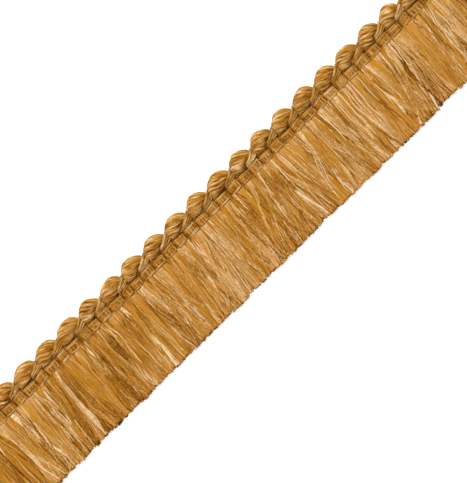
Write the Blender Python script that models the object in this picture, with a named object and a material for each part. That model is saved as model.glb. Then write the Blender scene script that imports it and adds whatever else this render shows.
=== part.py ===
"""Brush fringe: a cut length of trimming with a corded scallop edge, a woven heading and a thick cut skirt.

It lies face up. X runs along the trim, +Y points to the corded edge and +Z out of the face.
Metres throughout, with the origin under the middle of the trim, on the surface it lies on.
"""

import math

import bmesh
import bpy
from mathutils import Matrix, Vector

MM = 0.001

# The repeat along the trim: one bead of the edge cord over two ribs of the heading
PITCH = 10.0 * MM
BEADS = 23
RIBS_PER_BEAD = 2
RIB = PITCH / RIBS_PER_BEAD
LENGTH = BEADS * PITCH
START = -LENGTH / 2

# Across the trim, from the top of the beads to the cut tips
CORD_BAND = 6.1 * MM
HEADING = 4.05 * MM
SKIRT = 26.6 * MM
GAP = 0.3 * MM
CORD_TOP = (CORD_BAND + HEADING + SKIRT + 2 * GAP) / 2
HEADING_TOP = CORD_TOP - CORD_BAND - GAP
HEADING_LOW = HEADING_TOP - HEADING
SKIRT_TOP = HEADING_LOW - GAP
TIPS = SKIRT_TOP - SKIRT

# Edge cord: round beads between necks that the weft loops draw in
NECK_PHASE = 0.945
NECK_REST = 0.065
TOP_LEAN = 1.0
TOP_FULLNESS = 0.5
FACE_LEAN = 0.9
FACE_FULLNESS = 0.72
BEAD_UNEVEN = 0.035
BEAD_UNEVEN_STEP = 2.4
CORD_PLIES = 6
CORD_SIDES = 2 * CORD_PLIES
BEAD_STATIONS = (0.0, 0.04, 0.1, 0.22, 0.38, 0.54, 0.7, 0.84, 0.93, 0.975, 1.0)
TURN_PER_BEAD = math.radians(165)
PLY_RELIEF = 0.11
NECK = {"top": HEADING_TOP + 2.6 * MM, "low": HEADING_TOP + 0.55 * MM, "face": 3.25 * MM, "back": 1.4 * MM}
BEAD = {"top": CORD_TOP, "low": HEADING_TOP + GAP, "face": 5.7 * MM, "back": -0.08 * MM}

# Heading: the ribs are weft bundles that bulge between the grooves where the warps dip
GROOVE_HEIGHT = 2.7 * MM
RIB_HEIGHT = 3.5 * MM
SHOULDER = 0.5 * MM
WINDOW_DEPTH = 0.3 * MM
WARP_GROUP = 1.2 * MM
LOWER_EDGE_SAG = 0.12 * MM
RIB_STATIONS = ((0.0, 0.0), (0.2, 0.92), (0.8, 0.92))

# Weft loop over a neck: dx is from the neck, dy from the heading's top edge
LOOP_COLUMNS = ("left_dx", "left_dy", "left_z", "right_dx", "right_dy", "right_z")
LOOP_SECTIONS = (
    (-4.1, -1.5, 2.6, -0.6, -1.5, 2.6),
    (-4.1, -0.5, 3.9, -0.4, -0.5, 3.6),
    (-3.5, 0.6, 5.1, -0.1, 0.9, 4.4),
    (-2.3, 1.8, 5.4, 0.2, 1.8, 4.6),
    (-1.1, 2.8, 5.0, 0.3, 2.7, 4.2),
    (-0.4, 3.5, 3.6, 0.4, 3.5, 3.2),
    (-0.4, 3.5, 1.7, 0.4, 3.5, 1.6),
    (-0.4, 2.4, 0.7, 0.4, 2.4, 0.7),
    (-0.5, 0.9, 0.7, 0.4, 0.9, 0.7),
    (-0.5, -0.8, 1.2, 0.4, -0.8, 1.2),
)
LOOP_HALF_THICK = 0.35 * MM

# Skirt: three layers of locks out of one narrow bound strip
LOCKS_PER_LAYER = 76
STRIP_WIDTH = 1.2 * MM
ROW_HEIGHT = 1.2 * MM
ROOT_LIFT = 0.12 * MM
ROOT_HEIGHT = 0.85 * MM
LOCK_HEIGHT = 1.1 * MM
LAYER_RISE = 1.4 * MM
TIP_RISE = 1.3 * MM
LOCK_STATIONS = ((0.0, ROW_HEIGHT), (0.2, LAYER_RISE), (0.62, LAYER_RISE), (1.0, TIP_RISE))
END_FADE = 16.0 * MM
TIP_UNEVEN = 0.35 * MM
TIP_UNEVEN_STEPS = {"lock": 1.9, "layer": 2.3}
LAYER_COLUMNS = ("shift", "phase")
LAYERS = ((-0.9, 0.4), (0.2, 2.7), (1.0, 4.9))
SWAY_WAVES = ((47.0, 1.5), (21.0, 0.5), (12.0, 0.2))
BOW = 0.5 * MM


def clear_scene():
    for item in list(bpy.data.objects):
        bpy.data.objects.remove(item, do_unlink=True)


def yarn_material(name, colour, roughness):
    material = bpy.data.materials.new(name)
    material.use_nodes = True
    shader = material.node_tree.nodes["Principled BSDF"]
    shader.inputs["Base Color"].default_value = (*colour, 1.0)
    shader.inputs["Roughness"].default_value = roughness
    shader.inputs["Metallic"].default_value = 0.0
    material.diffuse_color = (*colour, 1.0)
    return material


def finish_object(bm, name, material):
    """Makes a node of a closed bmesh, with its faces pointing out."""
    bmesh.ops.recalc_face_normals(bm, faces=bm.faces)
    mesh = bpy.data.meshes.new(name)
    bm.to_mesh(mesh)
    bm.free()
    mesh.materials.append(material)
    made = bpy.data.objects.new(name, mesh)
    bpy.context.scene.collection.objects.link(made)
    return made


def add_tube(bm, rings):
    """Adds a closed tube through rings that have the same number of points."""
    verts = [[bm.verts.new(point) for point in ring] for ring in rings]
    sides = len(verts[0])
    for near, far in zip(verts, verts[1:]):
        for k in range(sides):
            j = (k + 1) % sides
            bm.faces.new((near[k], near[j], far[j], far[k]))
    bm.faces.new(verts[0][::-1])
    bm.faces.new(verts[-1])


def mixed(low, high, share):
    return low + (high - low) * share


def bead_swell(x, lean, fullness):
    """How far the cord has swelled at x, from 0 on a neck to about 1 on the bead, which leans along X."""
    place = (x - START) / PITCH - NECK_PHASE
    bead = math.floor(place)
    share = (place - bead - NECK_REST) / (1 - 2 * NECK_REST)
    share = min(max(share, 0.0), 1.0)
    dome = max(math.sin(math.pi * share**lean), 0.0) ** fullness
    return dome * (1 - BEAD_UNEVEN * (0.5 + 0.5 * math.sin(BEAD_UNEVEN_STEP * bead)))


def cord_ring(x):
    """One section of the cord. Its corners turn with the twist, every other one down between two plies."""
    swell = dict.fromkeys(NECK, bead_swell(x, FACE_LEAN, FACE_FULLNESS))
    swell["top"] = bead_swell(x, TOP_LEAN, TOP_FULLNESS)
    edge = {key: mixed(NECK[key], BEAD[key], swell[key]) for key in NECK}
    turn = TURN_PER_BEAD * (x - START) / PITCH
    ring = []
    for k in range(CORD_SIDES):
        angle = 2 * math.pi * k / CORD_SIDES + turn
        relief = 1 - PLY_RELIEF * swell["top"] * (k % 2)
        y = mixed(edge["low"], edge["top"], 0.5 + 0.5 * relief * math.cos(angle))
        z = mixed(edge["back"], edge["face"], 0.5 + 0.5 * relief * math.sin(angle))
        ring.append(Vector((x, y, max(z, 0.0))))
    return ring


def make_edge_cord(material):
    places = [START]
    for bead in range(BEADS):
        bead_start = START + PITCH * (bead + NECK_PHASE - 1 + NECK_REST)
        bead_length = PITCH * (1 - 2 * NECK_REST)
        places += [bead_start + bead_length * share for share in BEAD_STATIONS]
    places.append(-START)
    bm = bmesh.new()
    add_tube(bm, [cord_ring(x) for x in places])
    return finish_object(bm, "edge_cord", material)


def heading_ring(x, crown):
    """The heading's section: flat below, with a raised warp group along each edge and a window between."""
    height = mixed(GROOVE_HEIGHT, RIB_HEIGHT, crown)
    low = HEADING_LOW + LOWER_EDGE_SAG * (1 - crown)
    window = height - WINDOW_DEPTH * crown
    profile = (
        (low, 0.0),
        (low, height - SHOULDER),
        (low + SHOULDER, height),
        (low + WARP_GROUP, window),
        (HEADING_TOP - WARP_GROUP, window),
        (HEADING_TOP - SHOULDER, height),
        (HEADING_TOP, height - SHOULDER),
        (HEADING_TOP, 0.0),
    )
    return [Vector((x, y, z)) for y, z in profile]


def loop_rings(neck_x):
    """Four-cornered sections of one weft loop, each between its left and right edge."""
    rows = [dict(zip(LOOP_COLUMNS, row)) for row in LOOP_SECTIONS]
    base = Vector((neck_x, HEADING_TOP, 0.0))
    lefts = [base + MM * Vector((row["left_dx"], row["left_dy"], row["left_z"])) for row in rows]
    rights = [base + MM * Vector((row["right_dx"], row["right_dy"], row["right_z"])) for row in rows]
    middles = [(left + right) / 2 for left, right in zip(lefts, rights)]
    rings = []
    for k, (left, right) in enumerate(zip(lefts, rights)):
        ahead = middles[min(k + 1, len(middles) - 1)] - middles[max(k - 1, 0)]
        thick = (right - left).cross(ahead).normalized() * LOOP_HALF_THICK
        rings.append([left + thick, right + thick, right - thick, left - thick])
    return rings


def make_heading(material):
    bm = bmesh.new()
    sections = []
    for rib in range(BEADS * RIBS_PER_BEAD):
        sections += [heading_ring(START + RIB * (rib + share), crown) for share, crown in RIB_STATIONS]
    sections.append(heading_ring(-START, 0.0))
    add_tube(bm, sections)
    heading = finish_object(bm, "heading_band", material)

    loops_bm = bmesh.new()
    for bead in range(BEADS):
        add_tube(loops_bm, loop_rings(START + PITCH * (bead + NECK_PHASE)))
    loops = finish_object(loops_bm, "loops_to_join", material)
    loops.hide_render = True
    loops.display_type = "WIRE"

    union = heading.modifiers.new("loops", "BOOLEAN")
    union.operation = "UNION"
    union.solver = "EXACT"
    union.object = loops
    return heading


def end_fade(x):
    """1 over most of the trim, falling to 0 at its two cut ends, where the locks hang straight."""
    return min(1.0, (LENGTH / 2 - abs(x)) / END_FADE)


def lock_drift(root_x, share, layer):
    """How far along the trim a lock has strayed from its root, at a share of its length."""
    sway = layer["shift"] * MM
    for wave, (length, reach) in enumerate(SWAY_WAVES):
        sway += reach * MM * math.sin(2 * math.pi * root_x / (length * MM) + layer["phase"] * (wave + 1))
    bow = BOW * math.sin(2 * math.pi * root_x / (SWAY_WAVES[1][0] * MM) + 2 * layer["phase"])
    eased = share * (2 - share)
    return end_fade(root_x) * (sway * eased + bow * math.sin(math.pi * share))


def lock_centres(share, layer):
    pitch = LENGTH / LOCKS_PER_LAYER
    roots = [START + pitch * (k + 0.5) for k in range(LOCKS_PER_LAYER)]
    return [x + lock_drift(x, share, layer) for x in roots]


def half_widths(centres):
    """Each lock is as wide as the nearer of its neighbours allows."""
    edges = [2 * START - centres[0], *centres, -2 * START - centres[-1]]
    return [
        min(here - before, after - here) / 2 - GAP / 2
        for before, here, after in zip(edges, centres, edges[2:])
    ]


def lock_triangle(x, y, z, half_width, height):
    return [Vector((x - half_width, y, z)), Vector((x + half_width, y, z)), Vector((x, y, z + height))]


def add_strip(bm):
    """The bound strip behind the locks. Returns its front grid of vertices, by row and column."""
    pitch = LENGTH / LOCKS_PER_LAYER
    xs = [START + pitch * k for k in range(LOCKS_PER_LAYER + 1)]
    zs = [ROW_HEIGHT * row for row in range(len(LAYERS) + 1)]
    front = [[bm.verts.new((x, SKIRT_TOP - STRIP_WIDTH, z)) for x in xs] for z in zs]
    back = [[bm.verts.new((x, SKIRT_TOP, z)) for x in xs] for z in (zs[0], zs[-1])]
    for k in range(LOCKS_PER_LAYER):
        bm.faces.new((back[0][k], back[0][k + 1], back[1][k + 1], back[1][k]))
        bm.faces.new((back[0][k], back[0][k + 1], front[0][k + 1], front[0][k]))
        bm.faces.new((back[1][k], back[1][k + 1], front[-1][k + 1], front[-1][k]))
    for side in (0, -1):
        bm.faces.new([row[side] for row in front] + [back[1][side], back[0][side]])
    return front


def make_skirt(material):
    bm = bmesh.new()
    grid = add_strip(bm)
    root_y = SKIRT_TOP - STRIP_WIDTH
    for level, row in enumerate(LAYERS):
        layer = dict(zip(LAYER_COLUMNS, row))
        centres = [lock_centres(share, layer) for share, rise in LOCK_STATIONS]
        widths = [half_widths(line) for line in centres]
        for k in range(LOCKS_PER_LAYER):
            tip_wave = math.sin(TIP_UNEVEN_STEPS["lock"] * k + TIP_UNEVEN_STEPS["layer"] * level)
            tip_y = TIPS + TIP_UNEVEN * (0.5 + 0.5 * tip_wave)
            rings = []
            for station, (share, rise) in enumerate(LOCK_STATIONS):
                lift = rise * level + (0.0 if station else ROOT_LIFT)
                height = LOCK_HEIGHT if station else ROOT_HEIGHT
                y = mixed(root_y, tip_y, share)
                points = lock_triangle(centres[station][k], y, lift, widths[station][k], height)
                rings.append([bm.verts.new(point) for point in points])
            for near, far in zip(rings, rings[1:]):
                for a, b in ((0, 1), (1, 2), (2, 0)):
                    bm.faces.new((near[a], near[b], far[b], far[a]))
            bm.faces.new(rings[-1])
            left, right, peak = rings[0]
            low_left, low_right = grid[level][k], grid[level][k + 1]
            top_left, top_right = grid[level + 1][k], grid[level + 1][k + 1]
            bm.faces.new((low_left, low_right, right, left))
            bm.faces.new((low_right, top_right, peak, right))
            bm.faces.new((top_left, low_left, left, peak))
            bm.faces.new((top_right, top_left, peak))
    return finish_object(bm, "brush_skirt", material)


def centre_on_origin(pieces):
    """Moves the meshes together so that the trim's box is centred over the origin along X and Y."""
    bpy.context.view_layer.update()
    points = [v.co for piece in pieces for v in piece.data.vertices]
    middle = [(min(p[axis] for p in points) + max(p[axis] for p in points)) / 2 for axis in (0, 1)]
    shift = Matrix.Translation((-middle[0], -middle[1], 0.0))
    for item in bpy.data.objects:
        item.data.transform(shift)


def main():
    clear_scene()
    cord_yarn = yarn_material("cord_yarn", (0.47, 0.24, 0.06), 0.6)
    heading_yarn = yarn_material("heading_yarn", (0.41, 0.2, 0.045), 0.7)
    skirt_yarn = yarn_material("skirt_yarn", (0.51, 0.25, 0.06), 0.55)
    pieces = [make_edge_cord(cord_yarn), make_heading(heading_yarn), make_skirt(skirt_yarn)]
    centre_on_origin(pieces)


main()
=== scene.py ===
# %% [markdown]
# A brush fringe, yarn by yarn
#
# A brush fringe is a trimming that is sewn along the edge of a cushion or a curtain. This one has three
# parts. A soft twisted cord makes the beaded upper edge. A narrow woven heading holds everything together.
# A thick skirt of cut yarns hangs from the heading and is trimmed straight. All of it is yarn, so the lesson
# has one idea: write down the path that a yarn takes as a formula, and let Geometry Nodes sweep a tube along
# it.

import math

import bpy
import numpy as np
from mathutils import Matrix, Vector


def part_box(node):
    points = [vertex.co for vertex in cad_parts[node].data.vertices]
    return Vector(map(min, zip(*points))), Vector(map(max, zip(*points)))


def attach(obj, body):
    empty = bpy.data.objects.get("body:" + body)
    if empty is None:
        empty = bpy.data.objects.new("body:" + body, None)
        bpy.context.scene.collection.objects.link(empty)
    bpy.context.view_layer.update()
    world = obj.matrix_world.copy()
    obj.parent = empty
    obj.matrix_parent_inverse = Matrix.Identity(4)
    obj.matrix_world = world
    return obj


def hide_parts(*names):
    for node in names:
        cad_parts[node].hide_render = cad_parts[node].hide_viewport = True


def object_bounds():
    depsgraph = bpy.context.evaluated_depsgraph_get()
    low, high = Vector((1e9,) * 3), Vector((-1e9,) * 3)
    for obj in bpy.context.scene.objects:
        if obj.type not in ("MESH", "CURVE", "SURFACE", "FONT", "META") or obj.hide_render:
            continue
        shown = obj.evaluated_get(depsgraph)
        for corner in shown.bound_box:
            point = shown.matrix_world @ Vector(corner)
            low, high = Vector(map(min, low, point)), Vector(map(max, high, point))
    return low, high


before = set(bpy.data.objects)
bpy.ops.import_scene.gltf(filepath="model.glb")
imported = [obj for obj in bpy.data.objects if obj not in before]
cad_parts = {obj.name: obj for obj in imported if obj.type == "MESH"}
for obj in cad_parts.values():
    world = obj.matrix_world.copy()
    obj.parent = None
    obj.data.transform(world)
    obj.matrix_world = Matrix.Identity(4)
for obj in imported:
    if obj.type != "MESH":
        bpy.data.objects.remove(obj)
solid_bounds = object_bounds()
low_corner, high_corner = [[round(v, 4) for v in corner] for corner in solid_bounds]
print("The solids reach from", low_corner, "to", high_corner)

# %% [markdown]
# Sizes
#
# The frame gives the sizes that matter: where the cord, the heading and the skirt begin and end. The solids
# lie a seam's width apart. The rest follows from the repeat of the pattern. One bead of the cord stands over
# two ribs of the heading, and the first rib starts a little before the cut end.

# %% Sizes taken from the frame, and the repeat
MM = 0.001
BEADS = 23
RIBS = 2 * BEADS
SEAM = 0.3 * MM
RIB_SHIFT = 0.7 * MM
FLOOR_GAP = 0.02 * MM

cord_low, cord_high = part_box("edge_cord")
skirt_low, skirt_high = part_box("brush_skirt")
START = cord_low.x
LENGTH = cord_high.x - cord_low.x
PITCH = LENGTH / BEADS
RIB = PITCH / 2
CORD_TOP = cord_high.y
HEADING_TOP = cord_low.y - SEAM
HEADING_LOW = skirt_high.y + SEAM
TIPS = skirt_low.y
SKIRT_HEIGHT = skirt_high.z
print(f"one bead every {PITCH / MM:.2f} mm, heading {(HEADING_TOP - HEADING_LOW) / MM:.2f} mm wide,",
      f"skirt {(HEADING_LOW - TIPS) / MM:.1f} mm long")

# %% [markdown]
# Formulas for node trees
#
# Geometry Nodes work on fields: a field is one formula that is worked out for every point. Wiring a long
# formula node by node is slow and hard to read. The small class below lets us write it as plain arithmetic
# instead. Each plus or times adds one Math node to the tree.

# %% A number that is worked out for every point
class Field:
    """A number in a node tree. Arithmetic on it adds Math nodes."""

    def __init__(self, plan, socket):
        self.plan = plan
        self.socket = socket

    def __add__(self, other):
        return self.plan.math("ADD", self, other)

    def __sub__(self, other):
        return self.plan.math("SUBTRACT", self, other)

    def __rsub__(self, other):
        return self.plan.math("SUBTRACT", other, self)

    def __mul__(self, other):
        return self.plan.math("MULTIPLY", self, other)

    def __truediv__(self, other):
        return self.plan.math("DIVIDE", self, other)

    def __mod__(self, other):
        return self.plan.math("FLOORED_MODULO", self, other)

    def __pow__(self, other):
        return self.plan.math("POWER", self, other)

    __radd__ = __add__
    __rmul__ = __mul__


def towards(low, high, share):
    """Moves from low to high by a share between 0 and 1."""
    return low + (high - low) * share


def connect(tree, socket, value):
    """Links an input socket to another node's output, or sets it to a plain value."""
    if isinstance(value, bpy.types.NodeSocket):
        tree.links.new(value, socket)
    else:
        socket.default_value = value


# %% [markdown]
# The plan of a yarn piece
#
# Every piece of this trimming is a set of yarns, so every tree has the same bones. It makes a row of points,
# says which yarn each point belongs to and how far along it lies, moves the points onto the yarn's path,
# joins them into curves and sweeps a round profile along them. What differs from piece to piece is the path.
# The tree ends in Realize Instances and Set Material, so that what comes out is one plain mesh.

# %% A class that builds such a tree
NOISE_GAIN = 2.6
BEAT_LENGTH = 9 * MM
BEAT_SHIFT = 1.1 * MM
BEAT_SEED = 50


class YarnPlan:
    """A Geometry Nodes tree in the making: named inputs, formulas for the paths, and the sweep into yarns."""

    def __init__(self, name):
        self.tree = bpy.data.node_groups.new(name, "GeometryNodeTree")
        self.values = {}
        self.add_socket("Geometry", "OUTPUT", "NodeSocketGeometry")
        self.entry = self.node("NodeGroupInput")
        self.index = Field(self, self.node("GeometryNodeInputIndex").outputs[0])
        self.rings = self.sides = 0
        self.closed = False

    def node(self, kind, **settings):
        made = self.tree.nodes.new(kind)
        for key, value in settings.items():
            setattr(made, key, value)
        return made

    def add_socket(self, name, side, kind):
        return self.tree.interface.new_socket(name=name, in_out=side, socket_type=kind)

    def feed(self, socket, value):
        """Links a field or another socket to an input, or sets the input to a plain value."""
        connect(self.tree, socket, value.socket if isinstance(value, Field) else value)

    def wire(self, node, **inputs):
        """Feeds a node's inputs by name, with _ for a space, and gives the node back."""
        for name, value in inputs.items():
            wanted = name.replace("_", " ")
            socket = next(s for s in node.inputs if s.name == wanted and s.enabled)
            self.feed(socket, value)
        return node

    def named(self, name, value):
        """A named input of the tree, with the value that the modifier is to give it."""
        kinds = {int: "NodeSocketInt", float: "NodeSocketFloat"}
        socket = self.add_socket(name, "INPUT", kinds.get(type(value), "NodeSocketMaterial"))
        self.values[socket.identifier] = value
        return Field(self, next(s for s in self.entry.outputs if s.identifier == socket.identifier))

    def math(self, operation, *values):
        node = self.node("ShaderNodeMath", operation=operation)
        for socket, value in zip(node.inputs, values):
            self.feed(socket, value)
        return Field(self, node.outputs[0])

    def sine(self, turns):
        """The sine of an angle that is given in whole turns."""
        return self.math("SINE", turns * (2 * math.pi))

    def cosine(self, turns):
        return self.math("COSINE", turns * (2 * math.pi))

    def floor(self, value):
        return self.math("FLOOR", value)

    def size_of(self, value):
        """The value without its sign."""
        return self.math("ABSOLUTE", value)

    def clamped(self, value, low=0.0, high=1.0):
        return self.math("MINIMUM", self.math("MAXIMUM", value, low), high)

    def scatter(self, key, seed, low=-1.0, high=1.0):
        """A random number that stays the same for one key."""
        node = self.wire(self.node("FunctionNodeRandomValue"), Min=low, Max=high, ID=key, Seed=seed)
        return Field(self, next(s for s in node.outputs if s.enabled))

    def vector(self, x, y, z):
        return self.wire(self.node("ShaderNodeCombineXYZ"), X=x, Y=y, Z=z).outputs[0]

    def waver(self, x, y, seed):
        """A smooth random number of about -1 to 1 over the plane of x and y, which count in bumps."""
        node = self.node("ShaderNodeTexNoise")
        self.wire(node, Vector=self.vector(x, y, float(seed)), Scale=1.0, Detail=0.0)
        return (Field(self, node.outputs["Fac"]) - 0.5) * NOISE_GAIN

    def uneven(self, x):
        """Shifts a place a little, as no loom beats quite evenly. Cord, heading and loops all shift alike."""
        return x + self.waver(x / BEAT_LENGTH, 0.0, BEAT_SEED) * BEAT_SHIFT

    def spool(self, points):
        """For every point: the number of its yarn, and how far along the yarn it lies, from 0 to 1."""
        yarn = self.floor((self.index + 0.5) / points)
        along = (self.index - yarn * points) / (points - 1)
        return yarn, along

    def sweep(self, yarns, points, path, radius, swell, sides, tone, warm, along_mm, material, closed=False):
        """Makes the points, lays them on their paths and sweeps them into round yarns with a material."""
        self.rings, self.sides, self.closed = points, sides, closed
        made = self.wire(self.node("GeometryNodePoints"), Count=self.math("MULTIPLY", yarns, points))
        placed = self.wire(self.node("GeometryNodeSetPosition"), Geometry=made.outputs[0], Position=path)
        stored = placed.outputs[0]
        for name, value in (("tone", tone), ("warm", warm), ("along", along_mm), ("swell", swell)):
            store = self.node("GeometryNodeStoreNamedAttribute", data_type="FLOAT", domain="POINT")
            stored = self.wire(store, Geometry=stored, Name=name, Value=value).outputs[0]
        owner = self.floor((self.index + 0.5) / points)
        curves = self.wire(self.node("GeometryNodePointsToCurves"), Points=stored, Curve_Group_ID=owner)
        lines = curves.outputs[0]
        if closed:
            joined = self.node("GeometryNodeSetSplineCyclic")
            lines = self.wire(joined, Geometry=lines, Cyclic=True).outputs[0]
        ring = self.wire(self.node("GeometryNodeCurvePrimitiveCircle"), Resolution=sides, Radius=radius)
        turn = self.index / sides
        facing = self.vector(self.cosine(turn), self.sine(turn), 0.0)
        store = self.node("GeometryNodeStoreNamedAttribute", data_type="FLOAT_VECTOR", domain="POINT")
        self.wire(store, Geometry=ring.outputs[0], Name="around", Value=facing)
        thick = self.wire(self.node("GeometryNodeInputNamedAttribute", data_type="FLOAT"), Name="swell")
        tubes = self.wire(self.node("GeometryNodeCurveToMesh"), Curve=lines, Profile_Curve=store.outputs[0],
                          Scale=thick.outputs[0], Fill_Caps=not closed)
        smooth = self.wire(self.node("GeometryNodeSetShadeSmooth"), Geometry=tubes.outputs[0])
        real = self.wire(self.node("GeometryNodeRealizeInstances"), Geometry=smooth.outputs[0])
        finish = self.wire(self.node("GeometryNodeSetMaterial"), Geometry=real.outputs[0], Material=material)
        self.feed(self.node("NodeGroupOutput").inputs[0], finish.outputs[0])


# %% [markdown]
# The repeat of the heading
#
# The skirt, the weft and the warp all have to know where the ribs lie, so two small formulas say it once. A
# rib without a loop is a little wider than one that carries a loop. Beside a loop the groove is deep, and the
# next groove is shallow.

# %% Where the ribs of the heading lie
WIDER_RIB = 0.028


def ribs_before(plan, x):
    """Counts the ribs that lie before a place along the trim."""
    ribs = (x + RIB_SHIFT - START) / RIB
    return ribs + (plan.cosine(ribs / 2.0) + 1.0) * WIDER_RIB


def shallow_groove(plan, x):
    """1 beside the shallow grooves, 0 beside the deep ones, where a loop comes out of the heading."""
    return (plan.cosine(ribs_before(plan, x) / 2.0) + 1.0) / 2


# %% [markdown]
# A flat map of the yarns
#
# The look is carried by numbers along each yarn, so the render needs no UV map. A picture of the colours
# does: whoever bakes one wants every yarn on its own patch, the way a dyer lays skeins side by side.
# Unwrapping thousands of tubes by angle gives crumbs. The tree already knows which ring and which side of
# which yarn a corner belongs to, so those two numbers, put in a grid with one tall cell for each yarn, are
# the map.

# %% One cell of the map for each yarn
MARGIN_ALONG = 0.05
MARGIN_AROUND = 0.06
CAP_BULGE = 0.04


def read_numbers(items, name):
    found = np.empty(len(items), dtype=np.int32)
    items.foreach_get(name, found)
    return found


def lay_out_yarns(mesh, plan):
    """Adds the map. A face across a tube's seam runs on to the far side of its cell, not back."""
    vertex = read_numbers(mesh.loops, "vertex_index")
    first = read_numbers(mesh.polygons, "loop_start")
    face = np.repeat(np.arange(len(first)), read_numbers(mesh.polygons, "loop_total"))
    yarn, spot = np.divmod(vertex, plan.rings * plan.sides)
    ring, side = np.divmod(spot, plan.sides)

    def spread(values):
        return (np.maximum.reduceat(values, first) - np.minimum.reduceat(values, first))[face]

    cap = spread(ring) == 0
    bulge = CAP_BULGE * np.sin(np.pi * (side + 0.5) / plan.sides) * cap
    side = np.where((spread(side) == plan.sides - 1) & (side == 0) & ~cap, plan.sides, side)
    ring = np.where((spread(ring) == plan.rings - 1) & (ring == 0), plan.rings, ring)
    last_ring = plan.rings if plan.closed else plan.rings - 1
    inner_along = 1 - 2 * MARGIN_ALONG
    inner_around = 1 - 2 * MARGIN_AROUND
    along = MARGIN_ALONG + inner_along * ring / last_ring + np.where(ring == 0, -bulge, bulge)

    yarns = len(mesh.vertices) // (plan.rings * plan.sides)
    rows = max(1, round(math.sqrt(yarns / plan.rings)))
    columns = math.ceil(yarns / rows)
    row, column = np.divmod(yarn, columns)
    across = column + MARGIN_AROUND + inner_around * side / plan.sides
    places = np.stack([across / columns, (row + along) / rows], axis=1)
    mesh.uv_layers.new(name="OFBake").uv.foreach_set("vector", places.astype(np.float32).ravel())
    return columns, rows


# %% From a finished tree to a piece of the trimming
def spin_yarns(plan, piece_name, node_name):
    """Runs a finished tree, keeps its result as a plain mesh, and lets it stand for a solid of the frame."""
    empty = bpy.data.objects.new(piece_name + "_plan", bpy.data.meshes.new(piece_name + "_plan"))
    bpy.context.scene.collection.objects.link(empty)
    modifier = empty.modifiers.new("Yarns", "NODES")
    modifier.node_group = plan.tree
    for identifier, value in plan.values.items():
        modifier[identifier] = value
    depsgraph = bpy.context.evaluated_depsgraph_get()
    mesh = bpy.data.meshes.new_from_object(empty.evaluated_get(depsgraph))
    bpy.data.objects.remove(empty, do_unlink=True)
    piece = bpy.data.objects.new(piece_name, mesh)
    bpy.context.scene.collection.objects.link(piece)
    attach(piece, "root")
    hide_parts(node_name)
    columns, rows = lay_out_yarns(mesh, plan)
    triangles = len(mesh.loops) - 2 * len(mesh.polygons)
    print(f"{piece_name}: {triangles} triangles, a map of {columns} by {rows} cells")


# %% [markdown]
# What the yarn looks like
#
# The yarn is a soft mixed yarn, dyed in gold, amber and tan, with a few cream ends. Seen close, fine fibres
# run along it with a slight twist. We give each yarn a tone and a warmth. The tone runs from 0, deep, to 1,
# cream, and goes a little below 0 where a yarn lies in shade. The warmth mixes in amber. One shader group
# turns both into a colour and a fibre relief. It adds three kinds of noise: fine fibres, a slow drift of the
# dye, and nubs, which are short lighter and darker lumps. Each material then places that group with its own
# values and a slight tint, so that the cord, the heading and the skirt match.

# %% The dyes, and the noise in the yarn
DYES = {
    "shade": (0.105, 0.025, 0.001, 1.0),
    "deep": (0.295, 0.083, 0.002, 1.0),
    "gold": (0.45, 0.200, 0.030, 1.0),
    "tan": (0.60, 0.318, 0.098, 1.0),
    "cream": (0.84, 0.57, 0.29, 1.0),
    "amber": (0.53, 0.208, 0.013, 1.0),
}
DARKEST = -0.18
DYE_TONES = (("shade", DARKEST), ("deep", 0.0), ("gold", 0.35), ("tan", 0.7), ("cream", 1.0))
FIBRES = {"stretch": 0.5, "own": 40.0, "scale": 3.2, "detail": 3.0}
DYE_DRIFT = {"stretch": 0.11, "own": 70.0, "scale": 0.9, "detail": 1.0}
NUBS = {"stretch": 1.6, "own": 90.0, "scale": 1.0, "detail": 0.0}
CUT_END_SHADE = 0.3
GROUP_INPUTS = {
    "Shade From": 1000.0,
    "Streaks": 0.2,
    "Nubs": 0.2,
    "Warmth": 0.5,
    "Twist": 1.5,
    "Tint": (1.0, 1.0, 1.0, 1.0),
}
print("dyes:", ", ".join(DYES))


# %% Small helpers for the shader group
def attribute(tree, name, output):
    node = tree.nodes.new("ShaderNodeAttribute")
    node.attribute_name = name
    return node.outputs[output]


def shader_math(tree, operation, first, second):
    node = tree.nodes.new("ShaderNodeMath")
    node.operation = operation
    connect(tree, node.inputs[0], first)
    connect(tree, node.inputs[1], second)
    return node.outputs[0]


def dye_ramp(tree, place):
    """The dyes in a row, from the darkest tone to the lightest, read at a place between 0 and 1."""
    node = tree.nodes.new("ShaderNodeValToRGB")
    dyes = node.color_ramp.elements
    while len(dyes) < len(DYE_TONES):
        dyes.new(0.5)
    for element, (dye, dye_tone) in zip(dyes, DYE_TONES):
        element.position = (dye_tone - DARKEST) / (1.0 - DARKEST)
        element.color = DYES[dye]
    connect(tree, node.inputs[0], place)
    return node.outputs[0]


def blend(tree, share, first, second):
    node = tree.nodes.new("ShaderNodeMix")
    node.data_type = "RGBA"
    for number, value in ((0, share), (6, first), (7, second)):
        connect(tree, node.inputs[number], value)
    return node.outputs[2]


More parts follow.
